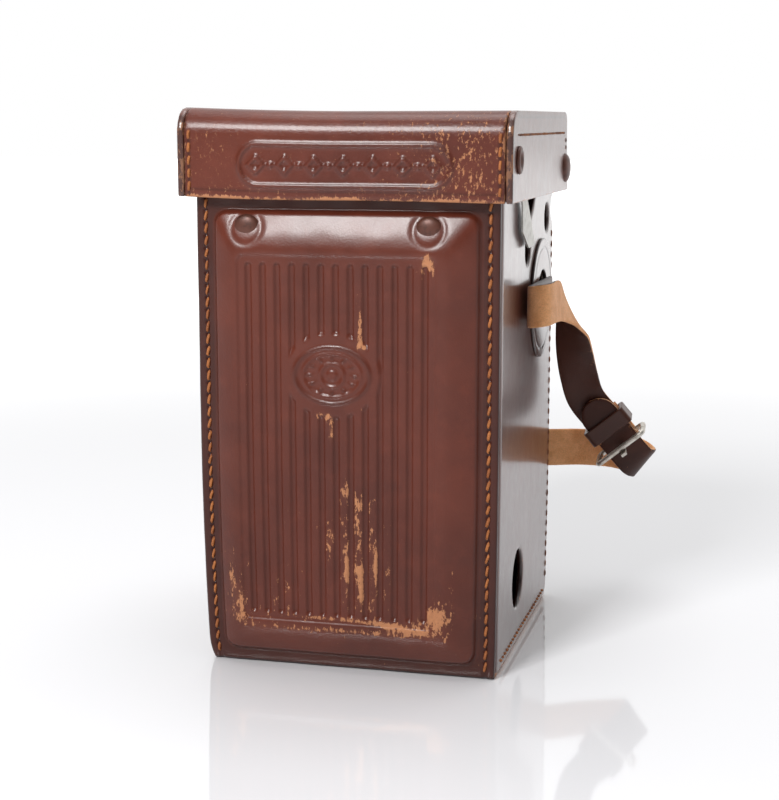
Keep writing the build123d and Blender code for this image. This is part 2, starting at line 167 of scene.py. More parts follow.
def leather(name, base, dark, rough=0.4, grain=0.55, grain_depth=0.25, scuffs=0.0, crackle=0.0,
            coat=0.05, gloss=0.3, coat_rough=0.3, waves=0.10):
    """Finished leather: pore grain, tone drift, rubbed flecks where `wear` is high, dark where the mesh marks
    dirt and painted shade.
    """
    g = Graph(name)
    drift = g.noise(32, 3)
    mottle = g.noise(5, 5, 0.6)
    pores = g.cells(grain, warp=0.25)
    fine = g.noise(0.35, 3, 0.6)
    speck = g.noise(1.5, 8, 0.68, stretch=(1, 1, 0.55))
    wear, grime_and_shade, edge = g.attribute("wear"), g.attribute("grime_and_shade"), g.attribute("edge")
    rub = g.math("ADD", g.math("MULTIPLY", wear, 0.85), g.math("MULTIPLY", edge, 0.22))
    flake = g.noise(0.75, 6, 0.7, stretch=(1.2, 1, 0.45))
    torn = g.math("ADD", g.math("MULTIPLY", speck, 0.55), g.math("MULTIPLY", flake, 0.45))
    fleck = g.ramp(g.math("ADD", torn, g.math("MULTIPLY", rub, 0.52)), 0.668, 0.695)
    haze = g.ramp(g.math("ADD", g.math("MULTIPLY", mottle, 0.5), rub), 0.40, 1.0)
    color = g.mix(g.ramp(drift, 0.3, 0.72), base, dark)
    color = g.mix(g.math("MULTIPLY", g.ramp(mottle, 0.45, 0.8), 0.35), color, scaled(base, 1.35))
    lines = g.noise(1.1, 6, 0.7, stretch=(0.12, 1, 1.6))
    scratch = g.math("MULTIPLY", g.ramp(lines, 0.64, 0.7), scuffs)
    color = g.mix(scratch, color, tuple(c * 2.1 + 0.01 for c in base))
    faded = tuple(0.5 * b + 0.32 * w for b, w in zip(base, WORN))
    color = g.mix(g.math("MULTIPLY", haze, 0.45), color, faded)
    tan = g.mix(g.noise(0.8, 5), WORN, scaled(WORN, 0.62))
    color = g.mix(fleck, color, tan)
    height = g.math("ADD", g.math("MULTIPLY", pores, 0.6), g.math("MULTIPLY", fine, 0.5))
    if crackle:
        web = g.cells(1.5, "DISTANCE_TO_EDGE", warp=2.2)
        nick = g.noise(0.9, 7, 0.72, stretch=(1.0, 1, 0.5))
        zone = g.math("MULTIPLY", g.attribute("crackle"), crackle)
        cracks = g.math("MULTIPLY", g.ramp(web, 0.07, 0.0), g.ramp(nick, 0.50, 0.62))
        nicks = g.ramp(g.math("ADD", nick, g.math("MULTIPLY", zone, 0.16)), 0.655, 0.70)
        crack = g.math("MAXIMUM", g.math("MULTIPLY", cracks, zone), nicks)
        color = g.mix(crack, color, tan)
        height = g.math("SUBTRACT", height, crack)
    # darkening from the mesh: real dirt on cut edges and seams, and painted shade in the front panel's crease
    # and grooves and on the lid's embossing
    color = g.mix(g.math("MULTIPLY", grime_and_shade, 0.92), color, scaled(dark, 0.16))
    height = g.math("SUBTRACT", height, g.math("MULTIPLY", fleck, 0.55))
    dull = g.math("ADD", g.math("MULTIPLY", mottle, 0.16), g.math("MULTIPLY", fleck, 0.32))
    roughness = g.math("ADD", dull, rough - 0.07, clamp=True)
    normal = g.bump(height, grain_depth, 0.16, g.bump(mottle, waves, 0.8))
    return g.done(color, roughness, normal, Coat_Weight=coat, Coat_Roughness=coat_rough,
                  Specular_IOR_Level=gloss)


def suede(name, base, dark):
    """Raw flesh side of leather: short nap, blotches and a soft sheen."""
    g = Graph(name)
    nap = g.noise(0.45, 6, 0.75)
    blotch = g.noise(4.5, 5, 0.65)
    color = g.mix(g.ramp(blotch, 0.35, 0.7), base, dark)
    color = g.mix(g.math("MULTIPLY", g.ramp(nap, 0.40, 0.72), 0.45), color, scaled(dark, 0.5))
    normal = g.bump(g.math("ADD", nap, g.math("MULTIPLY", blotch, 0.5)), 0.75, 0.35)
    return g.done(color, 0.95, normal, Sheen_Weight=0.25, Sheen_Roughness=0.5, Specular_IOR_Level=0.2)


def thread_material(name, base, dark):
    """Waxed twisted thread."""
    g = Graph(name)
    strand = g.noise(0.3, 3, 0.6, stretch=(1, 1, 2.2))
    tone = g.noise(7, 4, 0.6)
    color = g.mix(g.ramp(tone, 0.35, 0.68), base, dark)
    color = g.mix(g.math("MULTIPLY", g.ramp(strand, 0.35, 0.65), 0.5), color, scaled(dark, 0.4))
    return g.done(color, 0.62, g.bump(strand, 0.8, 0.15), Specular_IOR_Level=0.35)


def metal(name, base, dark, rough=0.35, metallic=1.0):
    """Plated or lacquered metal, brushed along z, with tarnish blots."""
    g = Graph(name)
    lines = g.noise(0.35, 4, 0.6, stretch=(1, 1, 0.08))
    blot = g.noise(2.6, 6, 0.7)
    color = g.mix(g.ramp(blot, 0.42, 0.72), base, dark)
    roughness = g.math("ADD", g.math("MULTIPLY", blot, 0.25), rough - 0.1)
    normal = g.bump(g.math("ADD", lines, g.math("MULTIPLY", blot, 0.5)), 0.25, 0.05)
    return g.done(color, roughness, normal, Metallic=metallic)


def felt(name, base, dark):
    """Short wool pile."""
    g = Graph(name)
    fibre = g.noise(0.6, 6, 0.8)
    color = g.mix(g.ramp(fibre, 0.3, 0.7), base, dark)
    return g.done(color, 0.95, g.bump(fibre, 0.8, 0.3), Sheen_Weight=0.1, Specular_IOR_Level=0.1)


BROWN, BROWN_DARK = (0.124, 0.0255, 0.0130), (0.084, 0.017, 0.0090)
mats = {
    "front": leather("front_leather", BROWN, BROWN_DARK, scuffs=0.07, rough=0.36, coat=0.26, coat_rough=0.17),
    "lid": leather("lid_leather", (0.130, 0.0265, 0.0135), (0.084, 0.017, 0.0095), crackle=0.8, scuffs=0.12,
                   rough=0.34, grain=0.8, grain_depth=0.42, coat=0.28, coat_rough=0.2),
    "box": leather("box_leather", (0.105, 0.029, 0.018), (0.062, 0.017, 0.011), rough=0.36, scuffs=0.2,
                   coat=0.85, gloss=0.45, coat_rough=0.16, waves=0.16),
    "cheek": leather("cheek_leather", (0.125, 0.034, 0.020), (0.080, 0.021, 0.013), rough=0.38, scuffs=0.2,
                     crackle=0.4, coat=0.75, gloss=0.45, coat_rough=0.2, waves=0.22),
    "strap": leather("strap_grain", (0.062, 0.017, 0.009), (0.026, 0.0075, 0.0045), rough=0.38, grain=0.45,
                     scuffs=0.35, coat=0.04, gloss=0.25),
    "tip": leather("strap_tip", (0.075, 0.023, 0.013), (0.04, 0.013, 0.008), rough=0.36, grain=0.45,
                   scuffs=0.3, coat=0.2),
    "suede": suede("strap_flesh", (0.95, 0.49, 0.23), (0.78, 0.35, 0.14)),
    "thread": thread_material("tan_thread", (0.56, 0.195, 0.055), (0.34, 0.105, 0.032)),
    "dark_thread": thread_material("worn_thread", (0.42, 0.15, 0.05), (0.17, 0.055, 0.025)),
    "nickel": metal("nickel_plate", (0.62, 0.585, 0.53), (0.36, 0.32, 0.27), rough=0.4),
    "steel": metal("catch_steel", (0.60, 0.585, 0.555), (0.45, 0.43, 0.40), rough=0.5),
    "rivet": metal("lacquered_rivet", (0.115, 0.040, 0.026), (0.05, 0.02, 0.014), rough=0.38, metallic=0.25),
    "black": metal("blackened_steel", (0.035, 0.03, 0.028), (0.014, 0.012, 0.011), rough=0.5),
    "felt": felt("lining_felt", (0.055, 0.012, 0.010), (0.03, 0.008, 0.007)),
}


# ---- mesh helpers ------------------------------------------------------------------------------
def add(name, verts, faces, mat, body, slot, nodes=(), attributes=None, indices=None):
    mesh = bpy.data.meshes.new(name)
    mesh.from_pydata((np.asarray(verts, float) * MM).tolist(), [], faces)
    for extra in (mat if isinstance(mat, (list, tuple)) else [mat]):
        mesh.materials.append(mats[extra])
    mesh.polygons.foreach_set("use_smooth", [True] * len(mesh.polygons))
    if indices is not None:
        mesh.polygons.foreach_set("material_index", indices)
    for key, values in (attributes or {}).items():
        layer = mesh.attributes.new(key, "FLOAT", "POINT")
        layer.data.foreach_set("value", np.asarray(values, np.float32))
    mesh.update()
    obj = bpy.data.objects.new(name, mesh)
    bpy.context.scene.collection.objects.link(obj)
    declare(obj, body, nodes)
    return obj


def declare(obj, body, nodes):
    """Says which body a piece rides and the CAD nodes that it stands for."""
    if body:
        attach(obj, body)
    if nodes:
        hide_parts(*nodes)


def soften(node, name, mat, body, voxel=0.6, rounds=3, warp=None, wear=None, extra=None):
    """A dense soft-edged skin grown from a CAD node's solid, then bent by warp.

    wear and the functions in extra give each vertex a value that the leather material reads.
    """
    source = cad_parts[node].data
    bm = bmesh.new()
    bm.from_mesh(source)
    bmesh.ops.remove_doubles(bm, verts=bm.verts, dist=1e-6)
    mesh = bpy.data.meshes.new(name)
    bm.to_mesh(mesh)
    bm.free()
    obj = bpy.data.objects.new(name, mesh)
    bpy.context.scene.collection.objects.link(obj)
    grow = obj.modifiers.new("grow", "REMESH")
    grow.mode = "VOXEL"
    grow.voxel_size = voxel * MM
    relax = obj.modifiers.new("relax", "SMOOTH")
    relax.factor, relax.iterations = 0.6, rounds
    final = bpy.data.meshes.new_from_object(obj.evaluated_get(bpy.context.evaluated_depsgraph_get()))
    obj.modifiers.clear()
    obj.data = final
    count = len(final.vertices)
    co = np.empty(count * 3)
    final.vertices.foreach_get("co", co)
    co = co.reshape(-1, 3) / MM
    ends = np.empty(len(final.edges) * 2, int)
    final.edges.foreach_get("vertices", ends)
    a, b = ends.reshape(-1, 2).T
    normals = np.empty(count * 3)
    final.vertices.foreach_get("normal", normals)
    normals = normals.reshape(-1, 3)
    degree = np.bincount(np.r_[a, b], minlength=count)

    def spread(values):
        total = np.bincount(a, values[b], count) + np.bincount(b, values[a], count)
        return total / np.maximum(degree, 1)

    mean = np.stack([spread(co[:, k]) for k in range(3)], 1)
    convex = np.clip(((co - mean) * normals).sum(1) / voxel * 9, 0, 1)
    for _ in range(3):
        convex = 0.5 * convex + 0.5 * spread(convex)
    values = {"edge": convex, "wear": wear(co) if wear else np.zeros(count)}
    for key, function in (extra or {}).items():
        values[key] = function(co)
    if warp:
        co = warp(co)
    final.vertices.foreach_set("co", (co * MM).ravel())
    for key, numbers in values.items():
        final.attributes.new(key, "FLOAT", "POINT").data.foreach_set("value", numbers.astype(np.float32))
    final.materials.clear()
    final.materials.append(mats[mat])
    final.polygons.foreach_set("use_smooth", [True] * len(final.polygons))
    final.update()
    declare(obj, body, (node,))
    return obj


def blob(co, centre, radius, axes=(0, 2)):
    """Soft round patch: 1 at the centre, fading over radius, which is a number or one for each axis."""
    radius = radius if isinstance(radius, tuple) else (radius,) * len(axes)
    total = sum(((co[:, k] - c) / r) ** 2 for k, c, r in zip(axes, centre, radius))
    return np.exp(-total)


def smooth_step(value, low, high):
    """0 at low, 1 at high, eased at both."""
    t = np.clip((value - low) / (high - low), 0, 1)
    return t * t * (3 - 2 * t)


def rolling(co, size, seed=0):
    """Smooth undulation, about -1 to 1, with waves about size mm long."""
    k = 2 * math.pi / size
    return (np.sin(co[:, 0] * k + seed) * np.cos(co[:, 2] * k * 0.8 + seed * 2.1)
            + np.sin((co[:, 1] + co[:, 2]) * k * 0.6 + seed * 1.3) * 0.6) / 1.6


def turned(centre, axis, profile, steps=40):
    """Vertices and faces of a (radius, height) profile revolved about axis through centre."""
    out = Vector(axis).normalized()
    u = out.orthogonal().normalized()
    v = out.cross(u)
    verts, faces = [], []
    for radius, height in profile:
        for i in range(steps):
            angle = 2 * math.pi * i / steps
            spoke = u * math.cos(angle) + v * math.sin(angle)
            verts.append(tuple(Vector(centre) + out * height + spoke * radius))
    for r in range(len(profile) - 1):
        for i in range(steps):
            j = (i + 1) % steps
            faces.append((r * steps + i, r * steps + j, (r + 1) * steps + j, (r + 1) * steps + i))
    faces.append(tuple(range(steps))[::-1])
    faces.append(tuple((len(profile) - 1) * steps + i for i in range(steps)))
    return verts, faces


def joined(parts):
    """One vertex and face list from several."""
    verts, faces = [], []
    for more_verts, more_faces in parts:
        base = len(verts)
        verts += list(more_verts)
        faces += [tuple(base + i for i in face) for face in more_faces]
    return verts, faces


# ---- body shape --------------------------------------------------------------------------------
def sag(co):
    """The sewn box is a little narrower at its foot, its left side more so; belly bows the walls slightly."""
    co = co.copy()
    foot = np.clip(1 - co[:, 2] / 70, 0, 1) ** 2
    left = co[:, 0] < 0
    heel = np.clip(1 - co[:, 2] / 7, 0, 1) ** 2
    co[:, 0] *= 1 - np.where(left, 0.042, 0.012) * foot - np.where(left, 0.03, 0.004) * heel
    return co


def belly(sign):
    """Warp of one side wall: bowed a little inwards at its middle and uneven."""
    def warp(co):
        co = co.copy()
        across, up = np.clip(co[:, 1] / 46, -1, 1), np.clip(co[:, 2] / 128, 0, 1)
        bulge = np.cos(across * math.pi / 2) * np.sin(up * math.pi)
        co[:, 0] -= sign * 0.35 * bulge + 0.10 * rolling(co, 37, 1 + sign)
        return sag(co)
    return warp


# ---- front panel -------------------------------------------------------------------------------
FIELD = (-37.9, 38.1, 3.6, 129.8)          # x0, x1, z0, z1 of the pressed field's foot
FIELD_CORNER = 5.0
FIELD_RISE = 4.6
PLAIN = (-29.7, 26.3, 14.4, 117.2)         # the recess that holds the grooves
BEVEL = (7.4, 9.2, 8.6, 10.8)              # left, right, bottom, top
GROOVES, PITCH, GROOVE_X, GROOVE_Z = 13, 4.15, -1.7, (16.5, 115.0)     # GROOVE_X is the middle one
BADGE = (-2.9, 84.6, 11.2, 8.2)            # x, z, half width, half height
RIVETS_FRONT = [(-27.4, 124.4), (23.8, 124.4)]
SEAM_X = (-40.1, 40.1)
WORN_FRONT = [  # x, z, radius x, radius z, strength
    (24.0, 116.5, 1.6, 2.6, 0.42), (22.5, 113.5, 1.0, 2.2, 0.28), (26.0, 17.5, 4.5, 2.6, 0.50),
    (22.0, 13.5, 6.0, 1.3, 0.34), (27.5, 21.0, 2.4, 3.5, 0.22), (-31.0, 14.5, 3.2, 1.6, 0.34),
    (-33.0, 26.0, 1.6, 9.0, 0.30), (-30.5, 19.0, 1.6, 3.0, 0.32), (-8.0, 15.8, 9.0, 0.7, 0.27),
    (8.0, 15.4, 8.0, 0.7, 0.28), (15.0, 14.6, 5.0, 1.2, 0.36), (-1.0, 12.6, 24.0, 1.2, 0.16),
    (5.2, 101.0, 0.8, 8.0, 0.24), (6.2, 93.0, 1.6, 1.8, 0.40), (4.2, 107.0, 1.4, 1.0, 0.18),
    (-6.2, 70.0, 0.8, 4.2, 0.36), (-3.0, 69.0, 0.9, 4.0, 0.40), (-4.6, 73.5, 2.8, 0.9, 0.30),
    (1.5, 30.0, 0.9, 5.5, 0.46), (5.6, 25.0, 1.0, 5.0, 0.48), (9.6, 33.0, 0.8, 4.0, 0.32),
    (5.0, 30.0, 2.6, 1.2, 0.34), (1.2, 52.0, 1.5, 2.0, 0.34), (5.2, 49.0, 2.4, 2.2, 0.30),
    (-14.0, 46.0, 4.0, 4.0, 0.15), (4.0, 40.0, 9.0, 7.0, 0.16), (-18.0, 26.0, 2.0, 4.0, 0.14),
    (-5.0, 38.0, 2.2, 3.4, 0.20), (10.0, 22.0, 5.0, 6.0, 0.14), (25.0, 47.0, 0.8, 3.4, 0.22),
    (2.0, 50.0, 13.0, 9.0, 0.17), (4.0, 30.0, 11.0, 13.0, 0.16), (-20.0, 20.0, 10.0, 8.0, 0.10),
    (5.0, 97.0, 2.0, 6.0, 0.28), (-5.0, 70.0, 2.2, 5.0, 0.22), (24.0, 115.0, 3.5, 4.5, 0.22),
    (22.5, 30.0, 0.9, 8.0, 0.14), (-20.0, 88.0, 1.2, 6.0, 0.10), (-21.8, 60.0, 0.7, 9.0, 0.14),
]


def rounded_inside(x, z, box, radius):
    """Distance inside a rounded rectangle's outline (negative outside)."""
    cx, cz = (box[0] + box[1]) / 2, (box[2] + box[3]) / 2
    dx = np.abs(x - cx) - ((box[1] - box[0]) / 2 - radius)
    dz = np.abs(z - cz) - ((box[3] - box[2]) / 2 - radius)
    outside = np.hypot(np.maximum(dx, 0), np.maximum(dz, 0)) + np.minimum(np.maximum(dx, dz), 0)
    return radius - outside


def front_height(x, z):
    """How far the front stands out of the wall's plane, where it is groove, and where it is badge."""
    ramps = [(x - FIELD[0]) / BEVEL[0], (FIELD[1] - x) / BEVEL[1], (z - FIELD[2]) / BEVEL[2],
             (FIELD[3] - z) / BEVEL[3]]
    crease = 7.0                           # how sharply the bevels meet
    t = -np.log(sum(np.exp(-crease * np.clip(r, -3, 3)) for r in ramps)) / crease
    corner = rounded_inside(x, z, FIELD, FIELD_CORNER)
    t = np.clip(t, 0, 1.6) * smooth_step(corner, -0.2, 1.6)
    slope = np.clip(0.5 * (t + 1 - np.sqrt((t - 1) ** 2 + 0.006)), 0, 1)
    rise = np.clip(0.22 * smooth_step(t, -0.02, 0.16) + 0.78 * (1 - (1 - slope) ** 1.35), 0, 1)
    h = FIELD_RISE * rise
    groove = np.zeros_like(x)
    ex, ez = (x - BADGE[0]) / (BADGE[2] + 2.0), (z - BADGE[1]) / (BADGE[3] + 3.0)
    around = smooth_step(np.hypot(ex, ez), 0.98, 1.10)
    for i in range(GROOVES):
        gx = GROOVE_X + (i - (GROOVES - 1) / 2) * PITCH
        dz = np.maximum(np.maximum(GROOVE_Z[0] + 0.8 - z, z - GROOVE_Z[1] + 0.8), 0)
        away = np.hypot(x - gx, dz)
        groove = np.maximum(groove, smooth_step(away, 1.12, 0.45))
    groove *= around
    h -= 0.72 * groove
    plain = smooth_step(rounded_inside(x, z, PLAIN, 2.0), -0.5, 0.5)
    h -= 0.42 * plain
    radial = np.hypot((x - BADGE[0]) / BADGE[2], (z - BADGE[1]) / BADGE[3])
    ring = np.exp(-((radial - 0.95) / 0.055) ** 2) + 0.8 * np.exp(-((radial - 0.74) / 0.04) ** 2)
    h += 0.38 * ring - 0.22 * smooth_step(radial, 0.72, 0.62)
    disc = np.hypot(x - BADGE[0], z - BADGE[1])
    h += 0.45 * np.exp(-((disc - 3.3) / 0.5) ** 2) + 0.35 * smooth_step(disc, 1.7, 1.1)
    angle = np.arctan2(z - BADGE[1], (x - BADGE[0]) * 0.72)
    petals = smooth_step(np.cos(angle * 12), 0.35, 0.8) * np.exp(-((radial - 0.58) / 0.085) ** 2)
    h += 0.32 * petals
    for rx, rz in RIVETS_FRONT:
        away = np.hypot(x - rx, z - rz)
        h -= 0.22 * np.exp(-((away - 4.3) / 0.9) ** 2)
    return h, groove, np.exp(-((radial - 0.95) / 0.07) ** 2) + petals


def stitch_places(start, end, pitch=3.4):
    """Middle and direction of each stitch along a straight seam."""
    start, end = Vector(start), Vector(end)
    count = max(1, round((end - start).length / pitch))
    step = (end - start) / count
    return [(start + step * (i + 0.5), step.normalized()) for i in range(count)]


def front_seam_places(side):
    """Stitches of a front seam, from under the lid to the foot."""
    x = SEAM_X[side]
    return stitch_places((x, FRONT_Y, 136), (x, FRONT_Y, 1.9))


def build_front():
    """The pressed front panel: a fine grid over the wall, moved out by front_height."""
    xs = np.arange(-HALF_W, HALF_W + 0.01, 0.34)
    zs = np.arange(0, FRONT_TOP + 0.01, 0.38)
    x, z = (m.ravel() for m in np.meshgrid(xs, zs))
    h, groove, badge = front_height(x, z)
    from_side = np.minimum(x + HALF_W, HALF_W - x)
    border = np.minimum(from_side, np.minimum(z, FRONT_TOP - z))
    soft = np.clip(1 - border / 1.3, 0, 1)
    h -= 0.9 * (1 - np.sqrt(np.clip(1 - soft ** 2, 0, 1)))
    toe = np.clip(1 - z / 4.2, 0, 1)
    h -= 0.9 * (1 - np.sqrt(np.clip(1 - toe ** 2, 0, 1)))
    uneven = from_side + 0.35 * np.sin(z / 7.0) + 0.2 * np.sin(z / 2.3)
    grime_and_shade = np.maximum(0.85 * smooth_step(border, 1.1, 0.2), 0.62 * smooth_step(uneven, 2.3, 1.0))
    wear = np.zeros_like(x)
    grid = np.stack([x, np.zeros_like(x), z], 1)
    for cx, cz, rx, rz, strength in WORN_FRONT:
        wear += strength * blob(grid, (cx, cz), (rx, rz))
    wear = wear * (1 - 0.75 * groove) + 0.05 * badge + 0.10 * smooth_step(z, 60, 20) * (1 - groove)
    bevel_line = np.exp(-((rounded_inside(x, z, (-30.3, 31.0, 12.4, 119), 3.0)) / 0.8) ** 2)
    wear += 0.10 * bevel_line * smooth_step(z, 90, 20)
    for side in (0, 1):
        h -= 0.28 * np.exp(-((x - SEAM_X[side]) / 0.62) ** 2)
        grime_and_shade = np.maximum(grime_and_shade, 0.42 * np.exp(-((x - SEAM_X[side]) / 0.8) ** 2))
        for middle, _ in front_seam_places(side):
            near = (np.abs(x - middle.x) < 2) & (np.abs(z - middle.z - 1.7) < 1.6)
            hole = np.exp(-(((x - middle.x) / 0.42) ** 2 + ((z - middle.z - 1.7) / 0.5) ** 2)) * near
            h -= 0.55 * hole
            grime_and_shade = np.maximum(grime_and_shade, hole)
    # painted shadow: a dark line along the foot of the pressed field; painted shade: a little darkening in
    # the grooves. The flat margin outside the field and the badge's raised lines are simply made darker.
    inside = rounded_inside(x, z, FIELD, FIELD_CORNER)
    valley = np.exp(-((inside - 0.2) / 0.9) ** 2)
    flange = smooth_step(inside, 0.6, -0.6)
    for shade in (0.4 * valley, 0.06 * groove, 0.60 * flange, 0.30 * badge):
        grime_and_shade = np.maximum(grime_and_shade, shade)
    h += 0.09 * rolling(grid, 27, 3) + 0.05 * rolling(grid, 11, 5)
    front = sag(np.stack([x, FRONT_Y - h, z], 1))
    back = sag(np.stack([x, np.full_like(x, FRONT_BACK_Y), z], 1))
    nx, nz = len(xs), len(zs)
    ids = np.arange(nx * nz).reshape(nz, nx)
    quads = np.stack([ids[:-1, :-1], ids[:-1, 1:], ids[1:, 1:], ids[1:, :-1]], -1).reshape(-1, 4)
    rim = np.r_[ids[0, :-1], ids[:-1, -1], ids[-1, :0:-1], ids[:0:-1, 0]]
    verts = np.r_[front, back[rim]]
    offset = nx * nz
    count = len(rim)
    faces = quads.tolist()
    for i in range(count):
        j = (i + 1) % count
        faces.append([int(rim[j]), int(rim[i]), offset + i, offset + j])
    faces.append([offset + i for i in range(count)][::-1])
    pad = np.zeros(count)
    add("front_panel_leather", verts, faces, "front", "box", "box_leather", ("front_panel",),
        {"wear": np.r_[np.clip(wear, 0, 1), pad], "grime_and_shade": np.r_[np.clip(grime_and_shade, 0, 1), pad + 0.7],
         "edge": np.r_[np.zeros_like(x), pad]})


# ---- thread ------------------------------------------------------------------------------------
def stitches(name, places, out, body, nodes, length=2.9, width=0.42, slant=0.22, lift=0.28, warp=None,
             mat="thread"):
    """Real stitches: each is a fat short strand that rises out of one hole and dips into the next."""
    out = Vector(out)
    parts = []
    for middle, along in places:
        side = along.cross(out).normalized()
        tilt = (along + side * slant * (1 + 0.25 * rng.normal())).normalized()
        cross = tilt.cross(out).normalized()
        long = length * (1 + 0.05 * rng.normal())
        fat = width * (1 + 0.08 * rng.normal())
        rings, steps = 9, 8
        verts, faces = [], []
        for i in range(rings):
            t = i / (rings - 1) * 2 - 1
            centre = middle + tilt * (t * long / 2) + out * (lift - 0.62 * abs(t) ** 3.2)
            radius = fat * (1 - 0.42 * abs(t) ** 4)
            for j in range(steps):
                angle = 2 * math.pi * j / steps
                verts.append(centre + cross * math.cos(angle) * radius + out * math.sin(angle) * radius * 0.8)
        for i in range(rings - 1):
            for j in range(steps):
                k = (j + 1) % steps
                faces.append((i * steps + j, i * steps + k, (i + 1) * steps + k, (i + 1) * steps + j))
        faces.append(tuple(range(steps))[::-1])
        faces.append(tuple((rings - 1) * steps + j for j in range(steps)))
        parts.append((verts, faces))
    verts, faces = joined(parts)
    verts = np.array([tuple(v) for v in verts])
    if warp:
        verts = warp(verts)
    add(name, verts, faces, mat, body, "thread", nodes)


def seam_marks(places, hole=1.7, axes=(1, 2)):
    """Grime function: dark spots where the needle went in, hole mm from each stitch's middle."""
    def marks(co):
        dark = np.zeros(len(co))
        for middle, along in places:
            point = middle + along * hole
            dark = np.maximum(dark, blob(co, (point[axes[0]], point[axes[1]]), 0.55, axes))
        return dark * 0.9
    return marks


def darkest(*tests):
    """Darkening function, for dirt and painted shade alike: the largest of several."""
    def marks(co):
        dark = np.zeros(len(co))
        for test in tests:
            dark = np.maximum(dark, test(co))
        return np.clip(dark, 0, 1)
    return marks


# ---- walls -------------------------------------------------------------------------------------
HOLES = ((-10, 20, 8.6), (-2, 137, 12.2), (LUG_Y, LUG_Z, 8.5))   # y, z, radius, in both walls
RIGHT_HOLES = ((-1, 116.5, 4.6), (32.2, 124, 4.2))


def wall_seam(sign):
    """Stitches along the foot of a wall, and those up its rear edge."""
    x = sign * (HALF_W + 0.05)
    return stitch_places((x, -38, 3.2), (x, 39, 3.2)), stitch_places((x, 42.4, 6), (x, 42.4, 120))


def ring_grime(co):
    """Dark line pressed round the lug ring, dark cut edges inside and outside it."""
    away = np.hypot(co[:, 1] - LUG_Y, co[:, 2] - LUG_Z)
    return (0.75 * np.exp(-((away - 15.4) / 0.5) ** 2) + 0.9 * smooth_step(away, 9.2, 8.6)
            + 0.85 * smooth_step(away, 17.4, 18.1))


def build_box():
    """Front, side, back and base leather, the rings about the lugs and the box's stitches."""
    build_front()
    for side, place in ((0, "left"), (1, "right")):
        stitches(f"{place}_front_stitches", front_seam_places(side), (0, -1, 0), "box",
                 (f"{place}_front_seam",), lift=0.02, slant=0.25, warp=sag)
    for sign, place in ((1, "right"), (-1, "left")):
        foot_seam, rear_seam = wall_seam(sign)

        def rim_wear(co):
            low = smooth_step(co[:, 2], 2.2, 0.4)
            rear = smooth_step(co[:, 1], 43.4, 44.8)
            return np.maximum(0.50 * low, 0.22 * rear)

        def hole_dark(co):
            dark = np.zeros(len(co))
            for y, z, r in HOLES + (RIGHT_HOLES if sign > 0 else ()):
                away = np.hypot(co[:, 1] - y, co[:, 2] - z) - r
                dark = np.maximum(dark, 0.9 * smooth_step(away, 0.5, 0.05))
            return dark

        def rear_edge_dark(co):
            return 0.8 * smooth_step(co[:, 1], 44.2, 44.9)

        wall_grime = darkest(seam_marks(foot_seam + rear_seam), hole_dark, rear_edge_dark)
        soften(f"{place}_side_panel", f"{place}_wall_leather", "box", "box", 0.6, 3,
               belly(sign), rim_wear, {"grime_and_shade": wall_grime})
        stitches(f"{place}_foot_stitches", foot_seam, (sign, 0, 0), "box", (f"{place}_edge_seam",),
                 lift=0.10, warp=belly(sign))
        stitches(f"{place}_rear_stitches", rear_seam, (sign, 0, 0), "box", (), lift=-0.02, width=0.34,
                 warp=belly(sign), mat="dark_thread")
        soften(f"{place}_lug_ring", f"{place}_ring_leather", "box", "box", 0.35, 3,
               belly(sign), None, {"grime_and_shade": ring_grime})
    soften("back_panel", "back_leather", "box", "box", 0.7, 3, sag,
           lambda co: 0.22 * blob(co, (0, 70), (50, 60)) * smooth_step(co[:, 1], 44, 45))
    soften("base_panel", "base_leather", "box", "box", 0.7, 2, sag,
           lambda co: 0.42 * smooth_step(co[:, 2], 0.8, 0.1) * (np.abs(co[:, 0]) > 30))


# ---- lid ---------------------------------------------------------------------------------------
PLAQUE = (0.6, 141.3, 29.5, 5.6)            # x, z, half width, half height of the plain embossed band


def lid_warp(co):
    """The old lid has sprung a little: its left side rides higher and its skirt waves."""
    co = co.copy()
    left = np.clip(-co[:, 0] / LID_HALF_W, 0, 1)
    co[:, 2] += 1.0 * left ** 1.6 * np.clip(0.6 - co[:, 1] / 98, 0, 1)
    low = np.clip((146 - co[:, 2]) / 14, 0, 1)
    co[:, 2] += 0.20 * low * np.sin(co[:, 0] / 13.0 + 1.0)
    flare = np.clip((co[:, 1] - 20) / 28, 0, 1) * (np.abs(co[:, 0]) > 44)
    co[:, 0] += np.sign(co[:, 0]) * 0.5 * flare * low
    from_x, from_y = np.clip(co[:, 0] / 46, -1, 1), np.clip(co[:, 1] / 48, -1, 1)
    co[:, 2] -= 0.45 * np.cos(from_x * math.pi / 2) * (co[:, 2] > 150) * np.cos(from_y * math.pi / 2)
    return co


def plaque(co):
    """Relief of the embossed band: a stadium line and a row of plain lozenges and beads."""
    x, z = co[:, 0] - PLAQUE[0], co[:, 2] - PLAQUE[1]
    cap = PLAQUE[2] - PLAQUE[3]
    outline = np.hypot(np.maximum(np.abs(x) - cap, 0), z) - PLAQUE[3]
    relief = np.exp(-(outline / 0.6) ** 2)
    pitch = 8.2
    index = np.clip(np.round(x / pitch), -3, 3)
    local = x - index * pitch
    lozenge = np.abs(local) / 2.9 + np.abs(z) / 3.1
    relief = np.maximum(relief, smooth_step(lozenge, 1.05, 0.8) - 0.9 * smooth_step(lozenge, 0.55, 0.35))
    half = x - (np.clip(np.floor(x / pitch), -3, 2) + 0.5) * pitch
    relief = np.maximum(relief, smooth_step(np.hypot(half, z), 1.05, 0.6))
    return relief * (co[:, 1] < -47.6)


def lid_front_warp(co):
    """The lid's wrap: its embossed band stands out, then it springs with the rest of the lid."""
    relief = plaque(co)
    out = co.copy()
    out[:, 1] -= 0.62 * relief
    return lid_warp(out)


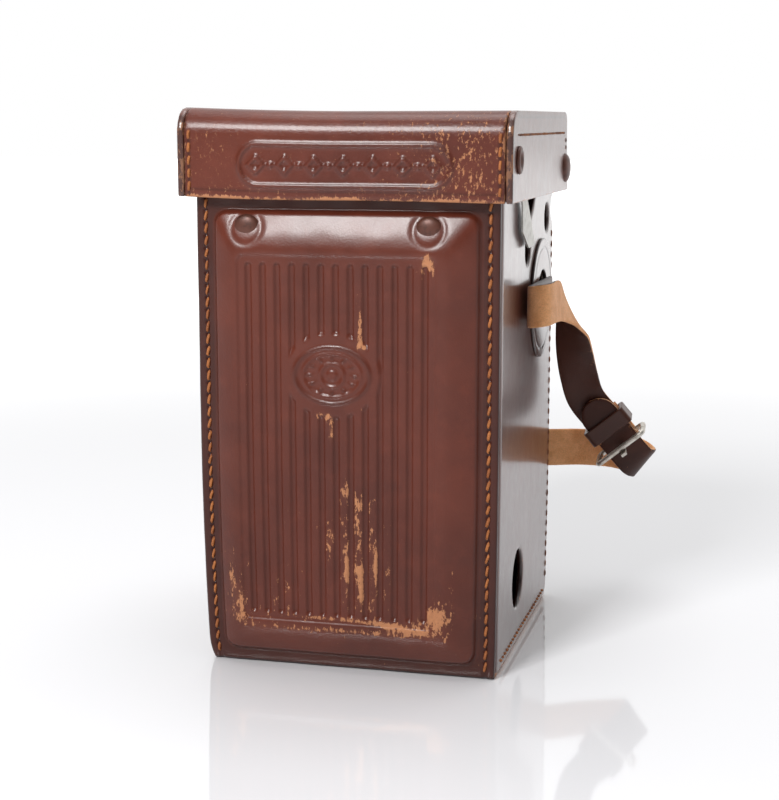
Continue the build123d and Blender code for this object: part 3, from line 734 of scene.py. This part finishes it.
def lid_wear(co):
    """Rubbed lower edge, end seams, top corner and embossing of the lid's wrap."""
    front = co[:, 1] < -44
    wave = 0.5 + 0.5 * np.sin(co[:, 0] / 5.1 + 2)
    low = smooth_step(co[:, 2], 133.8, 132.4) * front * (0.22 + 0.22 * wave)
    ends = smooth_step(np.abs(co[:, 0]), 42.6, 44.4) * (0.17 + 0.16 * (co[:, 0] > 0))
    relief = 0.22 * plaque(co) * smooth_step(co[:, 0], -15, 28)
    top = 0.20 * smooth_step(co[:, 2], 154.8, 155.8) * smooth_step(co[:, 1], -40, -43.5)
    rim = 0.30 * smooth_step(co[:, 2], 133.0, 132.1)
    corner = 0.16 * blob(co, (24, 150.5), (16, 3)) * front
    edges = np.maximum(np.maximum(low, ends * (0.6 + 0.4 * wave)), rim)
    return np.clip(edges + relief + top * wave * 0.8 + corner, 0, 1)


def lid_crackle(co):
    """Where the lid's dye has cracked: mostly its front's right end."""
    return np.clip(0.9 * blob(co, (33, 142), (13, 14)) + 0.35 * blob(co, (-38, 145), (7, 9))
                   + 0.30 * blob(co, (0, 133.5), (45, 2.5)) + 0.25 * blob(co, (10, 151), (25, 3)),
                   0, 1) * (co[:, 1] < -40)


def lid_grime_and_shade(co):
    """Dark handled edges of the lid's front and the shade inside the embossed lines."""
    front = co[:, 1] < -46
    rim = 0.62 * smooth_step(np.abs(co[:, 0]), 43.4, 44.6) * front
    rim = np.maximum(rim, 0.5 * smooth_step(co[:, 2], 132.4, 131.9))
    rim = np.maximum(rim, 0.45 * np.exp(-((co[:, 2] - 134.3) / 0.4) ** 2) * front)
    relief = plaque(co)
    # painted shade on the flanks of the embossed lines, added to the real dark handled edges
    return np.maximum(rim, 0.34 * relief * (1 - relief) * 4)


def cheek_seam(sign):
    """Stitches along a lid cheek's top and down its rear end."""
    x = sign * (LID_HALF_W + 0.05)
    return (stitch_places((x, -42, 149.6), (x, 42.6, 149.6), 2.3)
            + stitch_places((x, 45.4, 148.4), (x, 45.4, 144.0), 2.3))


def cheek_wear(co):
    """Rubbed lower rim and front edge of a lid cheek."""
    wave = 0.6 + 0.4 * np.sin(co[:, 2] / 1.9) * np.sin(co[:, 1] / 7)
    low = 0.36 * smooth_step(co[:, 2], 132.8, 132.1)
    return np.maximum(low, 0.30 * smooth_step(co[:, 1], -47.6, -48.7)) * wave


def cheek_grime(co):
    """Dark cut edge where the cheek meets the wrap along its top and rear."""
    top = np.exp(-((co[:, 2] - 154.4) / 0.35) ** 2) * (np.abs(co[:, 1]) < 43)
    front = smooth_step(co[:, 1], -46.6, -47.6) * 0.6
    return np.maximum(0.8 * top, np.maximum(front, 0.55 * smooth_step(co[:, 1], 47.3, 48.2)))


def build_lid():
    """The lid's wrap and cheeks with their stitches."""
    ends = [place for x in (-43.2, 43.2)
            for place in stitch_places((x, LID_FRONT_Y, 150.5), (x, LID_FRONT_Y, 133.2))]
    soften("lid_wrap", "lid_leather_wrap", "lid", "lid", 0.5, 3, lid_front_warp, lid_wear,
           {"grime_and_shade": darkest(seam_marks(ends, axes=(0, 2)), lid_grime_and_shade), "crackle": lid_crackle})
    stitches("lid_front_stitches", ends, (0, -1, 0), "lid", ("lid_front_seams",), lift=0.12, slant=0.1,
             warp=lid_warp)
    for sign, place in ((1, "right"), (-1, "left")):
        seam = cheek_seam(sign)
        soften(f"lid_{place}_cheek", f"lid_{place}_cheek_leather", "cheek", "lid", 0.5, 3,
               lid_warp, cheek_wear,
               {"grime_and_shade": darkest(seam_marks(seam, 1.15), cheek_grime),
                "crackle": lambda co: 0.4 * smooth_step(co[:, 2], 148, 155)})
        stitches(f"lid_{place}_stitches", seam, (sign, 0, 0), "lid", (f"lid_{place}_seam",), lift=0.02,
                 length=2.1, width=0.27, warp=lid_warp, mat="dark_thread")


def dome(radius, rise, seat, rim=0.35):
    """Profile of a domed rivet head with its rolled rim, from its seat outwards."""
    profile = [(0.01, seat), (radius * 0.5, seat), (radius - 0.1, seat), (radius, seat + rim * 0.4),
               (radius - 0.12, seat + rim)]
    for i in range(1, 9):
        a = i / 8 * math.pi / 2
        profile.append(((radius - 0.25) * math.cos(a) + 0.01, seat + rim + (rise - rim) * math.sin(a)))
    return profile


def build_rivets():
    """Two domed heads on the front; on each cheek a dished eyelet for the catch and a domed rear head."""
    heads = [turned((x, FRONT_Y, z), (0, -1, 0), dome(3.8, 1.55, 2.15)) for x, z in RIVETS_FRONT]
    add("front_rivet_heads", *joined(heads), "rivet", "box", "rivet", ("front_rivets",))
    for sign, place in ((1, "right"), (-1, "left")):
        out = (sign, 0, 0)
        dished = [(0.01, -2.9), (2.7, -2.9), (2.8, -2.5), (1.4, -2.3), (1.4, -0.1), (3.5, -0.05), (3.8, 0.25),
                  (3.5, 0.75), (2.7, 0.95), (2.0, 0.7), (1.5, 0.25), (0.8, 0.1), (0.01, 0.08)]
        eyelet = turned((sign * LID_HALF_W, -40.5, 143), out, dished)
        add(f"{place}_catch_eyelet", *eyelet, "rivet", "lid", "rivet", (f"{place}_catch_rivet",))
        head = turned((sign * LID_HALF_W, 43.4, 138.7), out, dome(4.6, 1.9, -0.05))
        add(f"{place}_rear_rivet_head", *head, "rivet", "lid", "rivet", (f"{place}_rear_rivet",))


def build_hinge():
    """One leather strip sewn to the back and to the lid, bending where the lid turns."""
    profile = [(45.1, 111.6), (45.1, 116), (45.1, 121), (45.15, 125), (45.6, 128), (46.7, 130.2),
               (47.9, 132.2), (48.35, 135), (48.4, 139), (48.4, 144), (48.4, 149.4)]      # y, z
    rows = 61
    along = np.linspace(0, len(profile) - 1, rows)
    y, z = (np.interp(along, range(len(profile)), values) for values in np.array(profile).T)
    for _ in range(6):
        y[1:-1] = (y[:-2] + y[1:-1] * 2 + y[2:]) / 4
    xs = np.linspace(-HINGE_HALF_W, HINGE_HALF_W, 91)
    dy, dz = np.gradient(y), np.gradient(z)
    size = np.hypot(dy, dz)
    ny, nz = dz / size, -dy / size
    verts, faces = [], []
    for outer in (False, True):
        for i in range(rows):
            end = min(i, rows - 1 - i) / rows * 39       # mm to the nearer end of the strip
            width = 1 - 0.05 * max(0.0, 1 - end / 2.5) ** 2
            for x in xs:
                edge = max(min(1.0, HINGE_HALF_W - abs(x), end), 0)
                t = HINGE_THICK * (1 - 0.5 * (1 - edge) ** 2) if outer else 0.02
                verts.append((x * width, y[i] + ny[i] * t, z[i] + nz[i] * t))
    n = len(xs)
    top = rows * n
    for i in range(rows - 1):
        for j in range(n - 1):
            a, b, c, d = i * n + j, i * n + j + 1, (i + 1) * n + j + 1, (i + 1) * n + j
            faces.append((a, b, c, d))
            faces.append((top + d, top + c, top + b, top + a))
    rim = (list(range(n - 1)) + [i * n + n - 1 for i in range(rows - 1)]
           + [(rows - 1) * n + j for j in range(n - 1, 0, -1)] + [i * n for i in range(rows - 1, 0, -1)])
    for a, b in zip(rim, rim[1:] + rim[:1]):
        faces.append((b, a, top + a, top + b))
    fold = 0.25 * np.exp(-((np.array(verts)[:, 2] - HINGE_Z) / 2.5) ** 2)
    plain = np.zeros(len(verts))
    obj = add("hinge_strip_leather", verts, faces, "box", None, "box_leather",
              ("hinge_lower_leaf", "hinge_upper_leaf"),
              {"wear": fold, "grime_and_shade": plain, "edge": plain})
    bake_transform(obj)
    stitches("hinge_lower_stitches", stitch_places((-31, 46.4, 115), (31, 46.4, 115)), (0, 1, 0), "box",
             ("hinge_lower_seam",), lift=0.12)
    stitches("hinge_upper_stitches", stitch_places((-31, 49.65, 146), (31, 49.65, 146)), (0, 1, 0), "lid",
             ("hinge_upper_seam",), lift=0.12)


# ---- strap -------------------------------------------------------------------------------------
STRAP_X, STRAP_W, STRAP_THICK = 44.9, 12.0, 1.36
BUCKLE = Vector((65.5, 51.0, 51.0))
ACROSS = Vector((0.77, 0.0, 0.63)).normalized()
ALONG = Vector((0.62, 0.12, -0.775))
ALONG = (ALONG - ACROSS * ALONG.dot(ACROSS)).normalized()
GRAIN = ALONG.cross(ACROSS)
FOLD_R, LAP = 1.65, 1.6                     # the fold about the buckle's bar, and one strap laid on the other
SHORT = [                                  # (centre, direction across the strap), from the right stud
    ((STRAP_X, 29.0, 100.0), (0, 0, -1)), ((STRAP_X, 9.0, 100.3), (0, 0, -1)),
    ((STRAP_X, -9.6, 100.6), (0, 0, -1)), ((45.9, -12.4, 100.8), (0, 0, -1)),
    ((48.2, -13.4, 101.2), (0, 0, -1)), ((50.5, -12.4, 101.5), (0, 0, -1)),
    ((51.2, -10.0, 101.6), (0, 0, -1)), ((51.3, -1.0, 101.4), (0.06, 0, -1)),
    ((51.4, 10.0, 100.2), (0.18, -0.35, -0.92)), ((52.2, 20.5, 96.2), (0.45, -0.72, -0.5)),
    ((52.0, 29.0, 89.6), (0.78, -0.58, -0.02)), ((51.8, 36.8, 81.4), (0.88, -0.32, 0.24)),
    ((52.4, 43.6, 72.8), (0.84, -0.12, 0.46)),
]
LONG = [                                   # from below the buckle, behind the box, to the left stud
    ((70.9, 51.3, 44.6), (0.75, 0.05, 0.66)), ((72.4, 54.8, 43.6), (0.6, 0.1, 0.79)),
    ((69.8, 59.0, 44.6), (0.35, 0.05, 0.93)), ((63.0, 60.6, 46.0), (0.12, 0, 0.99)),
    ((52.5, 58.6, 47.0), (0, 0, 1)), ((42.0, 53.4, 47.4), (0, 0, 1)), ((30.0, 49.8, 47.5), (0, 0, 1)),
    ((0.0, 48.6, 47.5), (0, 0, 1)), ((-25.0, 49.6, 49.0), (0.06, 0.05, 1)),
    ((-38.5, 52.0, 53.5), (0.45, 0.25, 0.86)), ((-46.5, 50.5, 61.5), (0.51, 0.65, 0.58)),
    ((-48.6, 43.0, 72.5), (0, 0.82, 0.57)), ((-46.6, 32.0, 87.5), (0, 0.79, 0.61)),
    ((-STRAP_X, 25.5, 95.6), (0, 0.78, 0.62)), ((-STRAP_X, 17.8, 105.2), (0, 0.78, 0.62)),
]


def at_buckle(along, out):
    """Strap station in the buckle's own directions."""
    return tuple(BUCKLE + ALONG * along + GRAIN * out), tuple(ACROSS)


def smooth_path(points, step=0.8):
    """Rows of a centripetal Catmull-Rom curve through rows of numbers, about step mm apart."""
    points = np.asarray(points, float)
    points = np.vstack([2 * points[0] - points[1], points, 2 * points[-1] - points[-2]])
    rows = []
    for p0, p1, p2, p3 in zip(points, points[1:], points[2:], points[3:]):
        t1 = np.linalg.norm((p1 - p0)[:3]) ** 0.5
        t2 = t1 + np.linalg.norm((p2 - p1)[:3]) ** 0.5
        t3 = t2 + np.linalg.norm((p3 - p2)[:3]) ** 0.5
        for t in np.linspace(t1, t2, max(2, int(np.linalg.norm((p2 - p1)[:3]) / step) + 1), endpoint=False):
            a1 = (t1 - t) / t1 * p0 + t / t1 * p1
            a2 = (t2 - t) / (t2 - t1) * p1 + (t - t1) / (t2 - t1) * p2
            a3 = (t3 - t) / (t3 - t2) * p2 + (t - t2) / (t3 - t2) * p3
            b1 = (t2 - t) / t2 * a1 + t / t2 * a2
            b2 = (t3 - t) / (t3 - t1) * a2 + (t - t1) / (t3 - t1) * a3
            rows.append((t2 - t) / (t2 - t1) * b1 + (t - t1) / (t2 - t1) * b2)
    return np.array(rows + [points[-2]])


def strap_piece(name, stations, node, round_start=False, round_end=False):
    """A strap with a grain face, a flesh face and burnished edges, through stations."""
    rows = smooth_path([(*c, *a) for c, a in stations])
    centres, wides = rows[:, :3], rows[:, 3:]
    tangents = np.gradient(centres, axis=0)
    tangents /= np.linalg.norm(tangents, axis=1)[:, None]
    wides = wides - tangents * (wides * tangents).sum(1)[:, None]
    wides /= np.linalg.norm(wides, axis=1)[:, None]
    outs = np.cross(tangents, wides)
    run = np.r_[0, np.cumsum(np.linalg.norm(np.diff(centres, axis=0), axis=1))]
    across = np.array([-1, -0.97, -0.9, -0.6, -0.3, 0, 0.3, 0.6, 0.9, 0.97, 1])
    up = np.array([0.45, 0.8, 0.97, 1, 1, 1, 1, 1, 0.97, 0.8, 0.45])
    section = [(a, u) for a, u in zip(across, up)] + [(a, -u) for a, u in zip(across[::-1], up[::-1])]
    count = len(section)
    verts, faces, index, wear, grime_and_shade = [], [], [], [], []
    for i, (c, w, o) in enumerate(zip(centres, wides, outs)):
        half = STRAP_W / 2
        for at_end, distance in ((round_start, run[i]), (round_end, run[-1] - run[i])):
            if at_end and distance < half:
                half = max(0.35, math.sqrt(max(0.0, half ** 2 - (half - distance) ** 2)))
        half *= 1 + 0.008 * math.sin(run[i] / 9)
        for a, u in section:
            verts.append(c + w * a * half + o * u * STRAP_THICK / 2)
            wear.append(0.16 * (abs(a) > 0.85) + 0.05 * math.sin(run[i] / 23) ** 2)
            grime_and_shade.append(0.7 if abs(a) > 0.98 else 0.0)
    for i in range(len(centres) - 1):
        for j in range(count):
            k = (j + 1) % count
            faces.append((i * count + j, (i + 1) * count + j, (i + 1) * count + k, i * count + k))
            index.append(0 if j < len(across) - 1 or j == count - 1 else 1)
    faces.append(tuple(range(count)))
    faces.append(tuple((len(centres) - 1) * count + j for j in range(count))[::-1])
    index += [0, 0]
    add(name, verts, faces, ["strap", "suede"], "strap", "strap_leather", (node,),
        {"wear": wear, "grime_and_shade": grime_and_shade, "edge": np.zeros(len(verts))}, index)


def build_strap():
    """Short strap folded about the buckle, long strap passed through it, and the keeper."""
    fold = [at_buckle(FOLD_R * math.sin(a), -FOLD_R + FOLD_R * math.cos(a))
            for a in np.linspace(0, math.pi, 7)]
    tail = [at_buckle(d, -2 * FOLD_R) for d in (-4, -11)]
    strap_piece("short_strap_leather", SHORT + [at_buckle(d, 0) for d in (-18, -9, -3)] + fold + tail,
                "short_strap")
    strap_piece("long_strap_leather", [at_buckle(d, LAP) for d in (-17, -10, -4, 0.5, 3.5)] + LONG,
                "long_strap", round_start=True, round_end=True)
    soften("strap_keeper", "keeper_leather", "tip", "keeper", 0.25, 4)


# ---- what stays CAD ----------------------------------------------------------------------------
def finish_cad():
    """Materials for the metal and felt nodes, and broken edges on the metal."""
    looks = {"nickel": ["buckle_frame", "buckle_prong", "right_lug_stud", "left_lug_stud"],
             "steel": ["right_catch_arm", "left_catch_arm"],
             "black": ["right_lug_plate", "left_lug_plate"],
             "felt": [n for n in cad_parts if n.endswith("lining")]}
    for look, nodes in looks.items():
        for node in nodes:
            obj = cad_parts[node]
            for slot in obj.material_slots:
                slot.material = mats[look]
            if look != "felt":
                soft = obj.modifiers.new("soft", "BEVEL")
                soft.width = 0.12 * MM
                soft.segments = 2
                soft.limit_method = "ANGLE"


# ---- stage -------------------------------------------------------------------------------------
def build_world():
    """White studio: a bright cyclorama behind and above, dimmer towards the front and low down."""
    world = bpy.data.worlds.new("studio")
    world.use_nodes = True
    tree = world.node_tree
    back = tree.nodes["Background"]
    coord = tree.nodes.new("ShaderNodeTexCoord")
    split = tree.nodes.new("ShaderNodeSeparateXYZ")
    tree.links.new(coord.outputs["Generated"], split.inputs[0])
    parts = []
    for output, low, high, bottom, top in ((split.outputs["Y"], -0.30, 0.55, 0.09, 0.98),
                                           (split.outputs["Z"], 0.10, 0.90, 0.08, 0.42)):
        ramp = tree.nodes.new("ShaderNodeMapRange")
        ramp.interpolation_type = "SMOOTHSTEP"
        tree.links.new(output, ramp.inputs[0])
        for socket, number in zip(ramp.inputs[1:5], (low, high, bottom, top)):
            socket.default_value = number
        parts.append(ramp.outputs[0])
    soft = tree.nodes.new("ShaderNodeMath")
    soft.operation = "MAXIMUM"
    tree.links.new(parts[0], soft.inputs[0])
    tree.links.new(parts[1], soft.inputs[1])
    path = tree.nodes.new("ShaderNodeLightPath")
    white = tree.nodes.new("ShaderNodeMath")
    white.operation = "MAXIMUM"
    tree.links.new(soft.outputs[0], white.inputs[0])
    tree.links.new(path.outputs["Is Camera Ray"], white.inputs[1])
    tree.links.new(white.outputs[0], back.inputs["Strength"])
    back.inputs["Color"].default_value = (1, 1, 1, 1)
    bpy.context.scene.world = world


FLOOR_HALF = 6.0                           # this and the lamps' places and sizes are in metres
LAMPS = (("key", (-0.27, -0.85, 0.76), 0.28, 9.8), ("top", (0.0, 0.1, 1.1), 0.6, 4.0))  # place, size, watts
CAMERA_PLACE, CAMERA_YAW, CAMERA_PITCH, CAMERA_LENS = (123.14, -482.82, 153.43), 14.2, 9.5, 75.2


def build_floor():
    """A glossy white sheet that brightens into the background far from the case: it glows there, which is
    painted light.
    """
    mesh = bpy.data.meshes.new("floor")
    s = FLOOR_HALF
    mesh.from_pydata([(-s, -s, 0), (s, -s, 0), (s, s, 0), (-s, s, 0)], [], [(0, 1, 2, 3)])
    floor = bpy.data.objects.new("floor", mesh)
    bpy.context.scene.collection.objects.link(floor)
    g = Graph("floor_white")
    distance = g.tree.nodes.new("ShaderNodeVectorMath")
    distance.operation = "LENGTH"
    g.link(g.mm, distance.inputs[0])
    # painted light: emission from nothing near the case up to 0.7 at 1.1 m from it
    glow = g.ramp(distance.outputs["Value"], 250, 1100, 0.0, 0.7)
    sheet = g.noise(60, 2)
    g.link(glow, g.shader.inputs["Emission Strength"])
    g.shader.inputs["Emission Color"].default_value = (1, 1, 1, 1)
    mesh.materials.append(g.done((0.78, 0.78, 0.80), g.math("ADD", g.math("MULTIPLY", sheet, 0.03), 0.04),
                                 Specular_IOR_Level=0.85))


def build_stage():
    """Floor, world, lamps and camera."""
    build_floor()
    build_world()
    for name, place, size, power in LAMPS:
        lamp = bpy.data.lights.new(name, "AREA")
        lamp.size, lamp.energy = size, power
        obj = bpy.data.objects.new(name, lamp)
        obj.location = place
        obj.rotation_euler = (Vector((0, 0, 0.08)) - Vector(place)).to_track_quat("-Z", "Y").to_euler()
        bpy.context.scene.collection.objects.link(obj)
    bpy.context.scene.view_settings.view_transform = "Standard"
    yaw, pitch = math.radians(CAMERA_YAW), math.radians(CAMERA_PITCH)
    forward = Vector((-math.sin(yaw) * math.cos(pitch), math.cos(yaw) * math.cos(pitch), -math.sin(pitch)))
    camera = bpy.data.cameras.new("camera")
    camera.lens, camera.sensor_width = CAMERA_LENS, 36
    camera.clip_start, camera.clip_end = 0.01, 50
    obj = bpy.data.objects.new("camera", camera)
    obj.location = Vector(CAMERA_PLACE) * MM
    obj.rotation_euler = forward.to_track_quat("-Z", "Y").to_euler()
    bpy.context.scene.collection.objects.link(obj)
    bpy.context.scene.camera = obj


build_stage()
build_box()
build_lid()
build_rivets()
build_hinge()
build_strap()
finish_cad()
